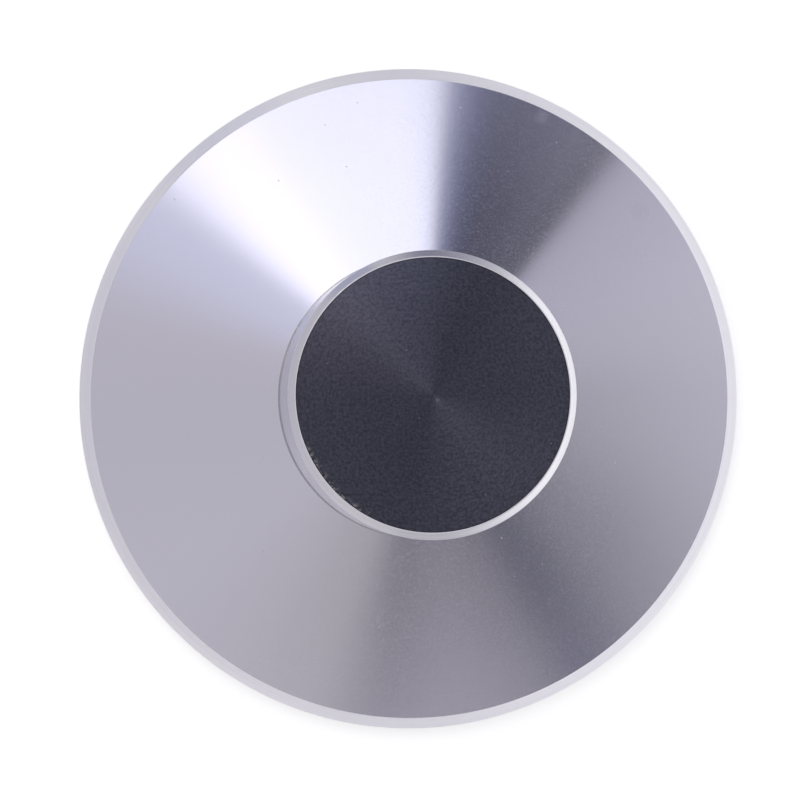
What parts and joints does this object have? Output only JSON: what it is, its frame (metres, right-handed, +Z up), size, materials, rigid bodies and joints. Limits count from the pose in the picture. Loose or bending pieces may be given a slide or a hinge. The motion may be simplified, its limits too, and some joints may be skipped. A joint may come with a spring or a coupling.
{
  "type": "record weight clamp",
  "caption": "Round turned weight with a conical face and a straight knob, dropped over a turntable's spindle to press a record flat.",
  "frame": {"origin": "centre of the pad's lower face, on the axis of turning", "axes": "+Z up along the axis of turning, from the record's label to the knob's crown; X and Y are any two directions across it"},
  "size_m": [0.076, 0.076, 0.031],
  "materials": {
    "turned_aluminium": "fine concentric turning marks, clear anodised",
    "black_turned_disc": "black, fine concentric turning marks, satin",
    "pad_rubber": "matte sheet rubber"
  },
  "bodies": {
    "root": {"weight_body": "turned_aluminium", "top_inlay": "black_turned_disc", "base_pad": "pad_rubber"}
  },
  "joints": []
}
